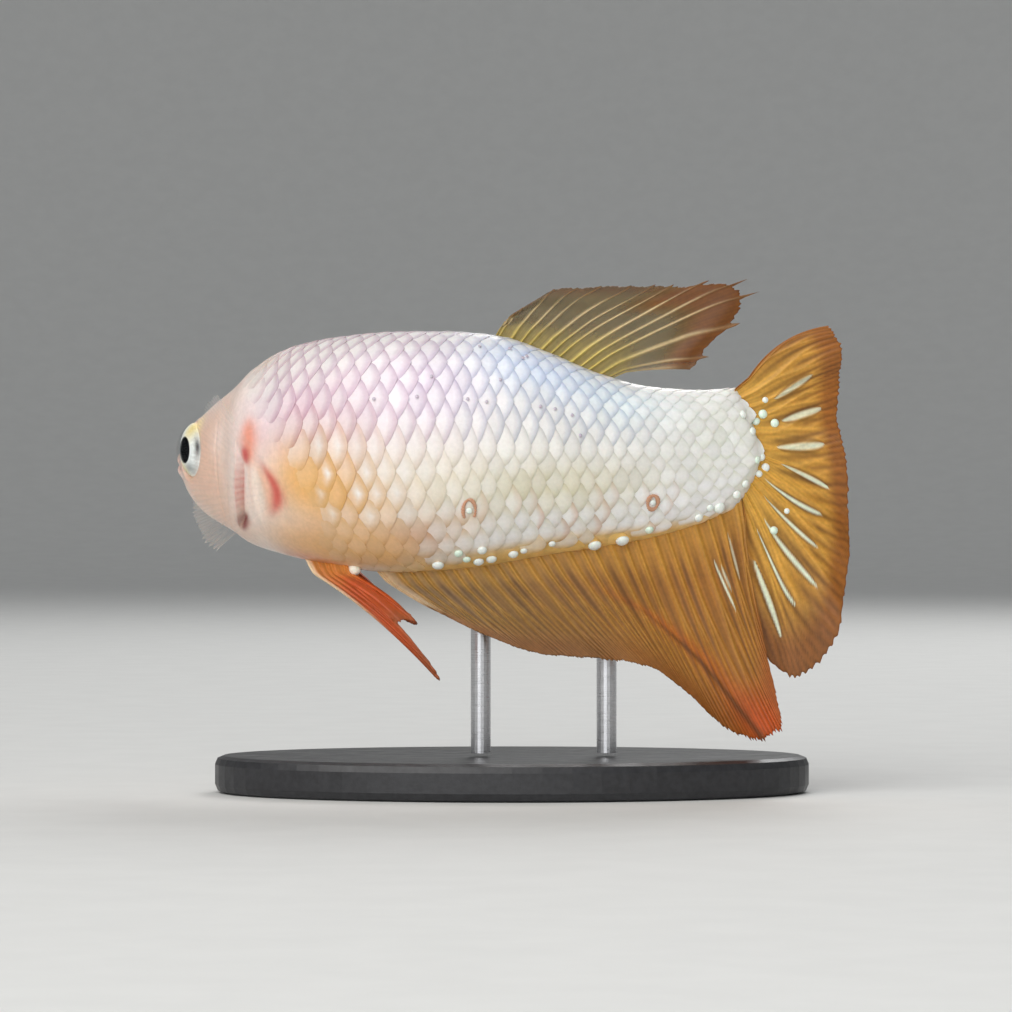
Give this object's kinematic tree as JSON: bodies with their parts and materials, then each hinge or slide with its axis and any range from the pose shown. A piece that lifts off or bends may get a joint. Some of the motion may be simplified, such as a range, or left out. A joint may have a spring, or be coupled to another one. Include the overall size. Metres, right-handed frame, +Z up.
{
  "type": "siamese fighting fish model",
  "caption": "Life-size still model of a short-finned siamese fighting fish, turning its head away, held over a plain oval base by two short rods.",
  "frame": {"origin": "centre of the base's underside", "axes": "+X from head to tail along the base, +Z up out of the base, -Y towards the fish's left flank, which faces the picture's viewer"},
  "size_m": [0.0551, 0.0268, 0.0411],
  "materials": {
    "face": "pale pink skin, satin",
    "scales": "pearly white scales, satin",
    "eye": "silver iris, glossy",
    "smoky_fin": "smoky yellow membrane",
    "amber_fin": "amber membrane",
    "red_fin": "orange red membrane",
    "clear_fin": "nearly clear membrane",
    "stand": "plain dark, satin",
    "rod": "satin steel"
  },
  "bodies": {
    "root": {"head": "face", "eye_left": "eye", "eye_right": "eye", "torso": "scales", "tail": "scales", "dorsal_fin": "smoky_fin", "anal_fin": "amber_fin", "caudal_fin": "amber_fin", "ventral_fin_left": "red_fin", "ventral_fin_right": "red_fin", "pectoral_fin_left": "clear_fin", "pectoral_fin_right": "clear_fin", "stand_base": "stand", "stand_rod_front": "rod", "stand_rod_rear": "rod"}
  },
  "joints": []
}
